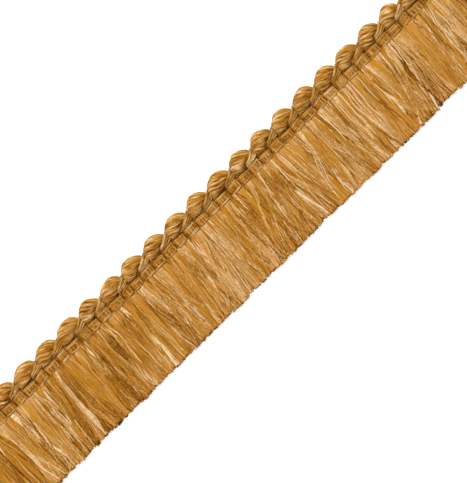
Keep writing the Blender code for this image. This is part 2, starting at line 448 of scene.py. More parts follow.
# %% A shader group for dyed yarn
def dyed_yarn_group():
    group = bpy.data.node_groups.new("Dyed yarn", "ShaderNodeTree")
    for name, value in GROUP_INPUTS.items():
        kind = "NodeSocketFloat" if isinstance(value, float) else "NodeSocketColor"
        group.interface.new_socket(name=name, in_out="INPUT", socket_type=kind).default_value = value
    for name, kind in (("Color", "NodeSocketColor"), ("Height", "NodeSocketFloat")):
        group.interface.new_socket(name=name, in_out="OUTPUT", socket_type=kind)
    entry = group.nodes.new("NodeGroupInput").outputs
    result = group.nodes.new("NodeGroupOutput").inputs

    def plus(first, second):
        return shader_math(group, "ADD", first, second)

    def minus(first, second):
        return shader_math(group, "SUBTRACT", first, second)

    def times(first, second):
        return shader_math(group, "MULTIPLY", first, second)

    along = attribute(group, "along", "Fac")
    tone = attribute(group, "tone", "Fac")
    twisted = group.nodes.new("ShaderNodeVectorRotate")
    twisted.rotation_type = "Z_AXIS"
    connect(group, twisted.inputs["Vector"], attribute(group, "around", "Vector"))
    connect(group, twisted.inputs["Angle"], times(along, entry["Twist"]))
    around = group.nodes.new("ShaderNodeSeparateXYZ")
    connect(group, around.inputs[0], twisted.outputs[0])

    def fibre_noise(stretch, own, scale, detail):
        """Noise on a yarn's skin, drawn out along it. A yarn of another tone gets another part of it."""
        place = group.nodes.new("ShaderNodeCombineXYZ")
        connect(group, place.inputs[0], plus(around.outputs[0], times(tone, own)))
        connect(group, place.inputs[1], around.outputs[1])
        connect(group, place.inputs[2], times(along, stretch))
        noise = group.nodes.new("ShaderNodeTexNoise")
        connect(group, noise.inputs["Scale"], scale)
        connect(group, noise.inputs["Detail"], detail)
        connect(group, noise.inputs["Vector"], place.outputs[0])
        return noise.outputs["Fac"]

    fibres = fibre_noise(**FIBRES)
    dye_drift = fibre_noise(**DYE_DRIFT)
    nubs = minus(fibre_noise(**NUBS), 0.5)
    streak = minus(plus(fibres, dye_drift), 1.0)
    nubby = plus(tone, times(nubs, entry["Nubs"]))
    streaked = plus(nubby, times(streak, entry["Streaks"]))
    beyond = shader_math(group, "MAXIMUM", minus(along, entry["Shade From"]), 0.0)
    shifted = minus(streaked, times(beyond, CUT_END_SHADE))
    dyed = dye_ramp(group, shader_math(group, "DIVIDE", minus(shifted, DARKEST), 1.0 - DARKEST))
    warm_share = times(attribute(group, "warm", "Fac"), entry["Warmth"])
    tinted = group.nodes.new("ShaderNodeVectorMath")
    tinted.operation = "MULTIPLY"
    connect(group, tinted.inputs[0], blend(group, warm_share, dyed, DYES["amber"]))
    connect(group, tinted.inputs[1], entry["Tint"])
    connect(group, result["Color"], tinted.outputs[0])
    connect(group, result["Height"], fibres)
    return group


dyed_yarn = dyed_yarn_group()


# %% A yarn material that uses the group
def yarn_material(name, roughness, glow, **values):
    material = bpy.data.materials.new(name)
    material.use_nodes = True
    tree = material.node_tree
    shader = tree.nodes["Principled BSDF"]
    shader.inputs["Roughness"].default_value = roughness
    shader.inputs["Specular IOR Level"].default_value = 0.08
    shader.inputs["Specular Tint"].default_value = (1.0, 0.64, 0.22, 1.0)
    shader.inputs["Sheen Weight"].default_value = 0.1
    shader.inputs["Sheen Roughness"].default_value = 0.4
    shader.inputs["Sheen Tint"].default_value = (1.0, 0.62, 0.18, 1.0)
    shader.inputs["Subsurface Weight"].default_value = glow
    shader.inputs["Subsurface Radius"].default_value = (1.0, 0.6, 0.3)
    shader.inputs["Subsurface Scale"].default_value = 0.6 * MM
    yarn = tree.nodes.new("ShaderNodeGroup")
    yarn.node_tree = dyed_yarn
    for socket_name, value in values.items():
        yarn.inputs[socket_name.replace("_", " ")].default_value = value
    bump = tree.nodes.new("ShaderNodeBump")
    bump.inputs["Strength"].default_value = 0.9
    bump.inputs["Distance"].default_value = 0.1 * MM
    connect(tree, shader.inputs["Base Color"], yarn.outputs["Color"])
    connect(tree, bump.inputs["Height"], yarn.outputs["Height"])
    connect(tree, shader.inputs["Normal"], bump.outputs["Normal"])
    return material


cord_material = yarn_material(
    "cord_yarn_dyed", roughness=0.55, glow=0.3,
    Streaks=0.6, Nubs=0.65, Warmth=0.5, Twist=1.2, Tint=(0.97, 1.03, 1.15, 1.0))
heading_material = yarn_material(
    "heading_yarn_dyed", roughness=0.7, glow=0.2,
    Streaks=0.45, Nubs=0.9, Warmth=0.2, Twist=1.6, Tint=(0.94, 1.07, 1.38, 1.0))
skirt_material = yarn_material(
    "skirt_yarn_dyed", roughness=0.6, glow=0.4,
    Streaks=0.9, Nubs=1.45, Warmth=0.85, Twist=1.4, Shade_From=26.4, Tint=(0.98, 1.03, 1.18, 1.0))

# %% [markdown]
# The skirt
#
# On the real trimming the skirt is the weft itself: long loops of yarn that hung below the heading on the
# loom and were cut open along one line. Each yarn is a few fine strands, loosely twisted. They hang in
# layers, and their paths are never straight: neighbours of one dye lie together in narrow bunches, each bunch
# leans its own way, passes over or under the next one, and parts from it in a dark split. Placing thousands
# of yarns by hand is hopeless, and a hair system would not know about bunches, so the trees work them out.
# The yarn's place in its layer gives the root. Smooth noise over that place gives the lean, the bend and the
# lift that a bunch shares, and a small random share of its own keeps each yarn from lying quite parallel.

# %% Sizes of the skirt
SKIRT_ROOT = HEADING_LOW + 0.75 * MM
TIP_MARGIN = 0.44 * MM
STRAND_MM = 27.0
STILL_END = 12 * MM
SKIRT_LEVELS = 8
LEVEL_CHANGE = 2.3
KEYS_PER_LEVEL = 4000.0
STAGGER = 0.618
COMMON_LEAN = 1.5 * MM
CRIMP = 0.14 * MM
CRIMPS = (2.2, 4.2)
GATHER = 0.8 * MM
LOOSENS = 3.5
ROLL = 0.3
PLY_SPACING = (1.5, 1.9)
FRAY = 0.3 * MM
RAGGED = 0.18 * MM
SINK = 0.2 * MM
SUNK = {"contrast": 3.4, "from": 0.8}
BOUND_HEIGHT = 0.74
BOUND_DIP = 0.12
TIP_THINNING = 0.14
PLUMPNESS = 0.16

# %% [markdown]
# The skirt's dye, with painted light and shade
#
# A strand's tone is a sum of shares. Most of it belongs to its bunch and to wider areas of the skirt. Some of
# it belongs to the yarn, to a pair of strands and to the strand alone. On top of the dye the tone carries
# painted light and shade: the skirt grows lighter along the trim, back levels are darker than front levels,
# strands that sink between their neighbours are darker, the roots just under the heading are lighter, and the
# roots beside a deep groove of the heading are darker.

# %% Shares of the skirt's tone, with dye and painted light and shade, and the formula
SKIRT_TONE = {"rest": 0.11, "level": 0.4, "bunch": 0.9, "area": 0.56, "drift": 0.4, "pale": 0.34,
              "yarn": 0.17, "strand": 0.3, "loosened": 0.1, "pair": 0.16, "in_rib": 0.04, "root": 0.18,
              "sunk": 0.8}
SKIRT_AREA = {"near": 0.4, "wide": 0.9, "painted_light_slope": 0.6}
SKIRT_WARMTH = {"bunch": 1.3, "yarn": 0.3, "rest": 0.4}
GROOVE_SHADE = {"deep": 1.1, "shallow": 0.8}
PALE = {"contrast": 3.4, "from": 1.3}
RIB_FADES = 8.0
ROOT_FADES = 4.0


def skirt_dye_and_painted_light(plan, seed, length, strand, key, root_x, fall, level, loosened, off_middle, sunk):
    """The tone and the warmth of a strand at one of its points."""
    depth = level * LEVEL_CHANGE

    def bumps(width, row, number):
        return plan.waver(root_x / width, row, number)

    share = SKIRT_TONE
    bunch = bumps(1.7 * MM, depth * 4.0, 6)
    area = bumps(7 * MM, fall * 0.8 + depth, 7) * SKIRT_AREA["near"]
    # The last share is painted light: the skirt grows lighter from one end of the trim to the other.
    area = area + bumps(26 * MM, 0.0, 15) * SKIRT_AREA["wide"] + root_x / length * SKIRT_AREA["painted_light_slope"]
    drift = plan.waver(key * 3.3, fall * 2.2, 8)
    pale = plan.clamped(bumps(1.4 * MM, depth * 5.0 + 40.0, 13) * PALE["contrast"] - PALE["from"])
    # The level share is painted shade: back levels are darker, front levels lighter.
    tone = level * share["level"] + share["rest"] + bunch * share["bunch"] + area * share["area"]
    tone = tone + drift * share["drift"] + pale * share["pale"]
    tone = tone + plan.scatter(key, seed + 8) * share["yarn"]
    tone = tone + plan.scatter(strand, seed + 9) * (share["strand"] - loosened * share["loosened"])
    neighbours = plan.floor((strand + 0.5) / 2.0)
    tone = tone + plan.scatter(neighbours, seed + 12) * share["pair"]
    # Painted shade on the roots beside a deep groove of the heading.
    shallow = shallow_groove(plan, root_x)
    groove_shade = off_middle ** 4.0 * (GROOVE_SHADE["deep"] - shallow * GROOVE_SHADE["shallow"])
    tone = tone + (share["in_rib"] - groove_shade) * (1.0 - plan.clamped(fall * RIB_FADES))
    # Painted light on the roots just under the heading, and painted shade on strands that sink.
    tone = tone + (1.0 - plan.clamped(fall * ROOT_FADES)) * share["root"] - sunk * share["sunk"]
    warm = bumps(2.8 * MM, depth * 3.0, 9) * SKIRT_WARMTH["bunch"]
    warm = warm + plan.scatter(key, seed + 10) * SKIRT_WARMTH["yarn"] + SKIRT_WARMTH["rest"]
    return plan.clamped(tone, DARKEST), plan.clamped(warm) * (1.0 - pale)


# %% The skirt's tree
def skirt_plan(name, first_level, level_step, layers, columns, plies, ply_radius, points, sides, unrest):
    plan = YarnPlan(name)
    length = plan.named("Length", LENGTH)
    columns = plan.named("Yarns per Layer", columns)
    layer_count = plan.named("Layers", layers)
    first = plan.named("First Level", first_level)
    step = plan.named("Level Step", level_step)
    unrest = plan.named("Unrest", unrest)
    plies = plan.named("Plies per Yarn", plies)
    strand_radius = plan.named("Ply Radius", ply_radius)
    height = plan.named("Height", SKIRT_HEIGHT)
    broad_lean = plan.named("Lean of a Broad Area", 5.5 * MM)
    bunch_lean = plan.named("Lean of a Bunch", 6.0 * MM)
    own_lean = plan.named("Lean of One Yarn", 4.5 * MM)
    bend = plan.named("Bend of a Bunch", 1.3 * MM)
    lift = plan.named("Lift of a Bunch", 0.9 * MM)
    uneven = plan.named("Uneven Cut", 1.3 * MM)
    seed = plan.named("Seed", 7)
    material = plan.named("Material", skirt_material)

    strand, fall = plan.spool(points)
    yarn = plan.floor((strand + 0.5) / plies)
    ply = strand - yarn * plies
    layer = yarn % layer_count
    column = plan.floor((yarn + 0.5) / layer_count)
    level = (layer * step + first) / SKIRT_LEVELS
    depth = level * LEVEL_CHANGE
    key = yarn + first * KEYS_PER_LEVEL

    stagger = (layer * STAGGER) % 1.0
    share = (column + stagger * 0.8 + plan.scatter(key, seed, 0.0, 0.5)) / (columns + 0.3)
    root_x = share * length - length / 2
    end_room = plan.clamped((length / 2 - plan.size_of(root_x)) / STILL_END)

    def bumps(width, row, number):
        """Smooth noise over the roots, in bumps of one width. The row says how it changes down the strand."""
        return plan.waver(root_x / width, row, number)

    lean = bumps(14 * MM, depth * 0.4, 1) * broad_lean - COMMON_LEAN
    lean = lean + bumps(3.6 * MM, depth * 1.7, 2) * bunch_lean
    lean = lean + plan.scatter(key, seed + 1) ** 3.0 * own_lean
    swerve = bumps(3.2 * MM, fall * 1.7 + depth * 3.0, 3) * bend
    crimp_turns = fall * plan.scatter(key, seed + 2, *CRIMPS) + plan.scatter(key, seed + 3, 0.0, 1.0)
    crimp = plan.sine(crimp_turns) * CRIMP
    in_rib = ribs_before(plan, root_x) % 1.0
    gathered = (in_rib * -1.0 + 0.5) * GATHER * plan.clamped(1.0 - fall * 6.0)
    loosened = plan.clamped(fall * LOOSENS)
    sway = (lean * fall ** 1.2 + swerve * loosened) * unrest + crimp * loosened
    middle = root_x + sway * end_room + gathered

    roll = plan.waver(key * 7.7, fall * 1.6, 11) * ROLL
    beside = (ply - (plies - 1.0) / 2) * strand_radius * towards(*PLY_SPACING, fall)
    fray = plan.waver(strand * 3.1, fall * 4.0, 12) * FRAY * loosened
    across = middle + plan.cosine(roll) * beside + fray

    cut = bumps(3.0 * MM, depth, 4) * uneven + plan.scatter(strand, seed + 6) * RAGGED
    down = towards(SKIRT_ROOT, TIPS + TIP_MARGIN + cut, fall)

    off_middle = plan.size_of(in_rib * 2.0 - 1.0)
    bound_height = BOUND_HEIGHT - off_middle ** 2.0 * BOUND_DIP
    puff = towards(bound_height, 1.0, plan.clamped(fall * 5.0) ** 0.7) * (1.0 - fall * TIP_THINNING)
    over = bumps(2.9 * MM, fall * 1.3 + depth * 2.0, 5) * lift * loosened
    # Sunk strands lie lower, and their tone is also painted darker as painted shade.
    sunk = plan.clamped(plan.waver(strand * 5.3, fall * 1.8, 14) * SUNK["contrast"] - SUNK["from"])
    up = level * height * puff + over * level + plan.sine(roll) * beside - sunk * SINK
    up = plan.math("MAXIMUM", up, strand_radius + FLOOR_GAP)

    tone, warm = skirt_dye_and_painted_light(plan, seed, length, strand, key, root_x, fall, level, loosened, off_middle, sunk)
    plump = 1.0 + plan.waver(fall * 4.0, key * 5.1, 10) * PLUMPNESS
    plan.sweep(layer_count * columns * plies, points, plan.vector(across, down, up), strand_radius, plump,
               sides, tone, warm, fall * STRAND_MM, material)
    return plan


# %% The skirt in pieces, back to front
SKIRT_PIECES = (
    {"name": "skirt_back", "first_level": 0.6, "level_step": 1.3, "layers": 2, "columns": 250,
     "plies": 3, "ply_radius": 0.27 * MM, "points": 8, "sides": 5, "unrest": 0.35},
    {"name": "skirt_middle", "first_level": 3.2, "level_step": 1.2, "layers": 2, "columns": 270,
     "plies": 3, "ply_radius": 0.29 * MM, "points": 8, "sides": 4, "unrest": 0.45},
    {"name": "skirt_front_lower", "first_level": 5.5, "level_step": 0.5, "layers": 2, "columns": 220,
     "plies": 5, "ply_radius": 0.2 * MM, "points": 10, "sides": 4, "unrest": 0.8},
    {"name": "skirt_front_upper", "first_level": 6.4, "level_step": 0.6, "layers": 2, "columns": 200,
     "plies": 5, "ply_radius": 0.19 * MM, "points": 10, "sides": 5, "unrest": 1.0},
)
for facts in SKIRT_PIECES:
    spin_yarns(skirt_plan(**facts), facts["name"], "brush_skirt")

# %% [markdown]
# The edge cord
#
# The cord is a soft bundle of many fine yarns with a slow twist. Where a weft loop ties it down it is
# squeezed to a neck, and between two necks it swells into a bead. A plain tube with a bump map would never
# fan out at the necks, so each yarn is laid on its own: it keeps its place in the circle, the circle turns
# slowly, and the circle's size follows the bead. Yarns also thin where they are squeezed.

# %% The bead's edges, for the cord's yarns and for its filling
NECK = {"top": HEADING_TOP + 3.1 * MM, "low": HEADING_TOP + 1.1 * MM, "face": 2.8 * MM, "back": 1.1 * MM}
BEAD = {"top": CORD_TOP + 0.2 * MM, "low": HEADING_TOP - 0.2 * MM, "face": 5.9 * MM, "back": 0.0,
        "lift": 1.8 * MM}
CORE_NECK = {"top": HEADING_TOP + 3.1 * MM, "low": HEADING_TOP - 0.5 * MM, "face": 2.6 * MM,
             "back": 0.6 * MM}
CORE_BEAD = {"top": CORD_TOP, "low": HEADING_TOP - 0.5 * MM, "face": 3.4 * MM, "back": 0.3 * MM,
             "lift": 0.0}

# %% The bead's shape
NECK_PHASE = 0.905
NECK_REST = 0.02
FULLNESS = {"top": 0.58, "low": 0.45, "face": 0.42, "back": 0.45}
TOP_LEAN = 1.12
FACE_LEAN = 0.7
LIGHT_LEAN = 0.42
LIFT_FROM = 0.4
LIFT_OVER = 0.3
BEAD_SEED = 3
LOWER_TOP = 0.08
FLATTER_FACE = 0.1


def bead_outline(plan, x, neck, bead_edges):
    """The cord's four edges at a place along the trim, how full the bead is there, and how lit it is."""
    place = (x - START) / PITCH - (NECK_PHASE - 1.0)
    bead = plan.floor(place)
    share = plan.clamped((place - bead - NECK_REST) / (1 - 2 * NECK_REST))

    def arch(lean):
        """0 at both necks, 1 at the bead's crest. A lean under 1 brings the crest nearer to the left neck."""
        return plan.math("MAXIMUM", plan.sine(share ** lean * 0.5), 0.0)

    full, early, lit = arch(TOP_LEAN), arch(FACE_LEAN), arch(LIGHT_LEAN)
    arches = {"top": full, "low": early, "face": early, "back": full}
    size = {"top": 1.0 - plan.scatter(bead, BEAD_SEED, 0.0, LOWER_TOP),
            "face": 1.0 - plan.scatter(bead, BEAD_SEED + 1, 0.0, FLATTER_FACE)}
    edges = {}
    for key, rest in neck.items():
        edges[key] = towards(rest, bead_edges[key], arches[key] ** FULLNESS[key] * size.get(key, 1.0))
    lifted = bead_edges["low"] + plan.clamped((share - LIFT_FROM) / LIFT_OVER) * bead_edges["lift"]
    edges["low"] = plan.math("MAXIMUM", edges["low"], lifted)
    return edges, full, lit


# %% The cord's tree
TURN_PER_BEAD = 0.42
MEANDER = 0.02
THICK_AND_THIN = 0.16
LOOSE_MM = {"yarn": 0.16, "ply": 0.3}
MOTTLE = 0.82
UNDERSIDE_SHADE = 0.36
CORD_WARMTH = {"mottle": 1.2, "rest": 0.15, "unlit": 0.7}


def cord_plan(name, yarns, radius, squeeze, inset, sides, points_per_bead, neck, bead, tone_spread,
              tone_middle):
    plan = YarnPlan(name)
    length = plan.named("Length", LENGTH)
    yarn_count = plan.named("Yarns", yarns)
    yarn_radius = plan.named("Yarn Radius", radius)
    squeeze = plan.named("Thickness at the Neck", squeeze)
    depth = plan.named("Depth below Surface", inset)
    turn_per_bead = plan.named("Turn per Bead", TURN_PER_BEAD)
    seed = plan.named("Seed", 11)
    material = plan.named("Material", cord_material)

    points = points_per_bead * BEADS + 1
    yarn, along = plan.spool(points)
    x = along * length - length / 2
    edges, full, lit = bead_outline(plan, x, neck, bead)
    meander = plan.waver(x / (6 * MM), yarn * 3.7, 1) * MEANDER
    turn = yarn / yarn_count + (x - START) / PITCH * turn_per_bead + meander
    half_y = (edges["top"] - edges["low"]) / 2
    half_z = (edges["face"] - edges["back"]) / 2
    uneven = 1.0 + plan.waver(x / (3 * MM), yarn * 4.3, 5) * THICK_AND_THIN
    thick = towards(squeeze, 1.0, full ** 0.5) * uneven
    yarn_waver = plan.waver(x / (3.5 * MM), yarn * 5.1, 2)
    ply_waver = plan.waver(x / (3 * MM), yarn * 0.3, 6)
    loose = (yarn_waver * LOOSE_MM["yarn"] + ply_waver * LOOSE_MM["ply"]) * MM
    sunk = yarn_radius * thick * depth - loose * full
    y = edges["low"] + half_y + (half_y - sunk) * plan.cosine(turn)
    z = edges["back"] + half_z + (half_z - sunk) * plan.sine(turn)
    z = plan.math("MAXIMUM", z, yarn_radius * thick + FLOOR_GAP)

    ply = plan.floor(yarn / 3)
    tone = tone_middle + plan.scatter(ply, seed + 1) * tone_spread
    tone = tone + plan.scatter(yarn, seed + 2) * tone_spread * 0.5
    tone = tone + plan.waver(x / (3 * MM), yarn * 0.4, 3) * MOTTLE
    tone = tone - (1.0 - lit) * (1.0 - plan.cosine(turn)) * UNDERSIDE_SHADE
    warm = plan.waver(x / (6 * MM), yarn * 0.35, 4) * CORD_WARMTH["mottle"] + CORD_WARMTH["rest"]
    warm = plan.clamped(warm + (1.0 - lit) * CORD_WARMTH["unlit"])
    plan.sweep(yarn_count, points, plan.vector(plan.uneven(x), y, z), yarn_radius, thick, sides,
               plan.clamped(tone, DARKEST), warm, (x - START) / MM, material)
    return plan


# %% The cord's yarns and the filling under them
CORD_PIECES = (
    {"name": "edge_cord_yarns", "yarns": 48, "radius": 0.22 * MM, "squeeze": 0.4, "inset": 1.0,
     "sides": 5, "points_per_bead": 11, "neck": NECK, "bead": BEAD, "tone_spread": 0.18,
     "tone_middle": 0.5},
    # The filling's tone is darker than the yarns' as painted shade in the pocket under the beads.
    {"name": "edge_cord_filling", "yarns": 16, "radius": 0.65 * MM, "squeeze": 0.75, "inset": 1.2,
     "sides": 5, "points_per_bead": 8, "neck": CORE_NECK, "bead": CORE_BEAD, "tone_spread": 0.02,
     "tone_middle": 0.25},
)
for facts in CORD_PIECES:
    spin_yarns(cord_plan(**facts), facts["name"], "edge_cord")

# %% [markdown]
# The heading's weft
#
# The heading is a narrow tape. Its weft is bundled into ribs, two under each bead, and every yarn of a rib
# wraps once round the tape. The yarns in the middle of a rib stand a little prouder than those beside a
# groove, and each rib slants a little in its own way. A flat texture would do from far away, but the ribs'
# round flanks catch the light, so they are built.

# %% The shape of a rib
GROOVE_HEIGHT = 2.4 * MM
GROOVE_CHANGE = 0.55 * MM
RIB_HEIGHT = 3.5 * MM
RIB_FLATNESS = 2.8
LOOP_RISE = 2.1 * MM
RISE_FALLS = 6.0


def rib_crown(plan, x):
    """1 on a rib's back, falling to 0 in the groove beside it."""
    place = ribs_before(plan, x) % 1.0
    return 1.0 - plan.size_of(place * 2.0 - 1.0) ** RIB_FLATNESS


def groove_height(plan, x):
    """The height of the groove beside a rib, which is lower where a loop leaves the heading."""
    return (shallow_groove(plan, x) * 2.0 - 1.0) * GROOVE_CHANGE + GROOVE_HEIGHT


def rise_to_loop(plan, x):
    """How far the heading's upper edge climbs: only in ribs with a loop, and most at their right side."""
    ribs = ribs_before(plan, x)
    place = ribs % 1.0
    carries_loop = plan.floor(ribs) % 2.0
    return plan.math("MINIMUM", place, (1.0 - place) * RISE_FALLS) * carries_loop * LOOP_RISE


# %% The ring that a weft yarn runs round
WEFT_LOW = HEADING_LOW + 0.27 * MM
WEFT_TOP = HEADING_TOP - 0.3 * MM
WEFT_RADIUS = 0.34 * MM
WEFT_INSET = 0.2 * MM
DRAWN_IN = 0.55 * MM
SHALLOW_SHARE = 0.9
ACROSS_POWER = 0.5
UPWARD_POWER = 0.6
YARN_SIDES = 5


def signed_power(plan, value, power):
    return plan.math("SIGN", value) * plan.size_of(value) ** power


def weft_ring(plan, x):
    """The ring's middle and half width across the tape, and its middle and half height above the floor."""
    crown = rib_crown(plan, x)
    rise = rise_to_loop(plan, x)
    drawn_in = (1.0 - crown) * (1.0 - shallow_groove(plan, x) * SHALLOW_SHARE) * DRAWN_IN
    middle = rise / 2 + (WEFT_TOP + WEFT_LOW) / 2
    half_width = rise / 2 + (WEFT_TOP - WEFT_LOW) / 2 - WEFT_INSET - drawn_in
    height = towards(groove_height(plan, x), RIB_HEIGHT, crown)
    return middle, half_width, height / 2, height / 2 - WEFT_RADIUS


# %% The weft's tree
WEFT_PER_RIB = 8
WEFT_POINTS = 22
WEFT_MM = 14.0
RIB_MIDDLE = {"plain": 0.461, "loop_adds": 0.022}
RIB_FILL = {"plain": 0.893, "loop_takes": 0.1}
WEFT_WANDER = 0.18 * MM
RIB_SLANT = 0.2 * MM
WEFT_TONE = {"rest": 0.05, "second": 0.22, "yarn": 0.2, "rib": 0.1}
WEFT_WARMEST = 0.4
WEFT_SWELL = 0.3


def weft_plan():
    plan = YarnPlan("Heading weft")
    ribs = plan.named("Ribs", RIBS)
    per_rib = plan.named("Yarns per Rib", WEFT_PER_RIB)
    yarn_radius = plan.named("Yarn Radius", WEFT_RADIUS)
    seed = plan.named("Seed", 21)
    material = plan.named("Material", heading_material)

    yarn, along = plan.spool(WEFT_POINTS)
    round_turn = along * ((WEFT_POINTS - 1) / WEFT_POINTS)
    rib = plan.floor((yarn + 0.5) / per_rib)
    loop_rib = rib % 2.0
    place = (yarn - rib * per_rib + 0.5) / per_rib
    fill = RIB_FILL["plain"] - loop_rib * RIB_FILL["loop_takes"]
    squeezed = RIB_MIDDLE["plain"] + loop_rib * RIB_MIDDLE["loop_adds"] + (place - 0.5) * fill
    wander = plan.waver(yarn * 7.3, round_turn * 3.0, 1) * WEFT_WANDER
    x = START - RIB_SHIFT + (rib + squeezed) * RIB + wander
    middle, half_width, centre, half_height = weft_ring(plan, x)
    slant = plan.scatter(rib, seed + 5) * RIB_SLANT
    x = x + plan.cosine(round_turn) * slant
    y = middle + signed_power(plan, plan.cosine(round_turn), ACROSS_POWER) * half_width
    z = centre + signed_power(plan, plan.sine(round_turn), UPWARD_POWER) * half_height
    tone = (yarn % 2.0) * WEFT_TONE["second"] + plan.scatter(yarn, seed + 1) * WEFT_TONE["yarn"]
    tone = tone + plan.scatter(rib, seed + 2) * WEFT_TONE["rib"] + WEFT_TONE["rest"]
    warm = plan.scatter(yarn, seed + 3, 0.0, WEFT_WARMEST)
    swell = 1.0 + plan.waver(yarn * 2.7, round_turn * 9.0, 3) * WEFT_SWELL
    plan.sweep(ribs * per_rib, WEFT_POINTS, plan.vector(plan.uneven(x), y, z), yarn_radius, swell,
               YARN_SIDES, plan.clamped(tone), warm, round_turn * WEFT_MM, material, closed=True)
    return plan


spin_yarns(weft_plan(), "heading_weft", "heading_band")

# %% [markdown]
# The heading's warp
#
# The warp threads run the length of the tape and hold the weft. They work in pairs: where one thread of a
# pair passes over a rib its partner passes under it, and at the next rib they change places, so every rib
# shows one of the two. Two light pairs mark the tape's upper edge and two its lower edge. Under them a set of
# thick threads lies inside the tape, from edge to edge, and closes it; they are painted dark, as painted
# shade in the grooves. Every warp thread is also painted darker where the groove beside it is deep. One tree
# serves
# all three sets: only its named inputs change.

# %% The warp's tree, used three times
POINTS_PER_RIB = 8
WARP_WANDER = 0.34 * MM
WARP_MOTTLE = 0.5
WARP_WARMTH = 0.5
CROSSING = 1.1
SHADE_DEEPENS_OVER = 5 * MM


def warp_plan(name, pairs, first_y, last_y, radius, sag, tone, lift, rise=0.0, apart=0.08 * MM, weave=1.0):
    plan = YarnPlan(name)
    length = plan.named("Length", LENGTH)
    pair_count = plan.named("Pairs", pairs)
    upper = plan.named("First Pair", first_y)
    lower = plan.named("Last Pair", last_y)
    thread_radius = plan.named("Thread Radius", radius)
    dip = plan.named("Sag", sag)
    base_tone = plan.named("Tone", tone)
    stand = plan.named("Stand Above Weft", lift)
    rise = plan.named("Rise to a Loop", rise)
    apart = plan.named("Partner Apart", apart)
    weave = plan.named("Weave", weave)
    material = plan.named("Material", heading_material)

    points = POINTS_PER_RIB * RIBS + 1
    thread, along = plan.spool(points)
    pair = plan.floor((thread + 0.5) / 2.0)
    partner = thread - pair * 2.0
    x = along * length - length / 2
    ribs_along = ribs_before(plan, x)
    over = plan.clamped(plan.sine((ribs_along + partner) / 2.0) * CROSSING + 0.5)
    crown = rib_crown(plan, x)
    y = towards(upper, lower, pair / (pair_count - 1.0)) - dip * crown - partner * apart
    y = y + rise_to_loop(plan, x) * rise
    y = y + plan.waver(ribs_along * 0.9, thread * 5.3, 1) * WARP_WANDER
    middle, half_width, centre, half_height = weft_ring(plan, x)
    cosine = plan.clamped(plan.size_of(y - middle) / half_width) ** (1.0 / ACROSS_POWER)
    face = centre + (1.0 - cosine * cosine) ** (UPWARD_POWER / 2) * half_height + WEFT_RADIUS + stand
    z = towards(GROOVE_HEIGHT / 2, towards(thread_radius + FLOOR_GAP, face, over), weave)
    groove_depth = (RIB_HEIGHT - groove_height(plan, x)) * (1.0 - crown)
    own_tone = base_tone + plan.waver(ribs_along * 0.8, thread * 9.1, 2) * WARP_MOTTLE
    # Painted shade: a thread grows darker towards a groove, the more so where the groove is deep.
    own_tone = own_tone - groove_depth / SHADE_DEEPENS_OVER
    plan.sweep(pair_count * 2.0, points, plan.vector(plan.uneven(x), y, z), thread_radius, 1.0,
               YARN_SIDES, plan.clamped(own_tone, DARKEST), WARP_WARMTH, (x - START) / MM, material)
    return plan


# %% The three sets of warp
WARP_SETS = (
    # The ground warp's dark tone is painted shade for the grooves.
    {"name": "warp_ground", "pairs": 7, "first_y": HEADING_TOP + 0.5 * MM, "last_y": WEFT_LOW + 0.8 * MM,
     "radius": 0.42 * MM, "sag": 0.0, "tone": 0.0, "lift": 0.0, "apart": 0.3 * MM, "weave": 0.0},
    {"name": "warp_upper", "pairs": 2, "first_y": HEADING_TOP - 0.6 * MM, "last_y": HEADING_TOP - 1.15 * MM,
     "radius": 0.24 * MM, "sag": 0.1 * MM, "tone": 0.4, "lift": 0.02 * MM, "rise": 0.5},
    {"name": "warp_lower", "pairs": 2, "first_y": WEFT_LOW + 0.68 * MM, "last_y": WEFT_LOW + 0.34 * MM,
     "radius": 0.2 * MM, "sag": 0.08 * MM, "tone": 0.5, "lift": 0.06 * MM, "rise": 0.25},
)
for facts in WARP_SETS:
    spin_yarns(warp_plan(**facts), facts["name"], "heading_band")

# %% [markdown]
# The loops over the cord
#
# In every second rib the weft leaves the tape, crosses the cord in the valley between two beads, turns under
# it and goes back into the tape. The yarns start side by side across the rib and are drawn together in the
# valley. Two guide curves, one for each edge of the bundle, say where a loop runs. The tree samples both and
# spaces the yarns between them, then repeats the loop at every neck with small differences.

# %% Guide curves for one loop, in millimetres from the neck and from the heading's upper edge
LOOP_COLUMNS = ("left_x", "left_y", "left_z", "right_x", "right_y", "right_z")
LOOP_SECTIONS = (
    (-4.4, -0.6, 1.2, -4.0, -0.6, 1.2),
    (-4.4, 0.1, 2.2, -4.1, -0.2, 2.4),
    (-4.25, 0.8, 3.3, -3.8, 0.0, 3.4),
    (-3.65, 1.25, 4.4, -3.1, 0.15, 4.0),
    (-2.55, 1.8, 5.1, -2.1, 0.3, 4.2),
    (-1.4, 2.6, 5.2, -1.05, 0.55, 4.1),
    (-0.4, 3.35, 4.8, -0.15, 0.85, 3.7),
    (0.15, 3.8, 3.7, 0.3, 1.2, 3.3),
    (0.25, 3.4, 1.0, 0.4, 1.5, 1.0),
    (-0.3, 0.9, 0.7, 0.4, 0.9, 0.7),
    (-0.5, -0.8, 1.2, 0.4, -0.8, 1.2),
)


def loop_guides():
    """A curve object with two smooth splines: the left and the right edge of one loop."""
    guides = bpy.data.curves.new("loop_guides", "CURVE")
    guides.dimensions = "3D"
    rows = [dict(zip(LOOP_COLUMNS, row)) for row in LOOP_SECTIONS]
    for side in ("left", "right"):
        spline = guides.splines.new("BEZIER")
        spline.bezier_points.add(len(rows) - 1)
        spline.resolution_u = 8
        for point, row in zip(spline.bezier_points, rows):
            point.co = Vector((row[side + "_x"], row[side + "_y"], row[side + "_z"])) * MM
            point.handle_left_type = "AUTO"
            point.handle_right_type = "AUTO"
    made = bpy.data.objects.new("loop_guides", guides)
    bpy.context.scene.collection.objects.link(made)
    return made


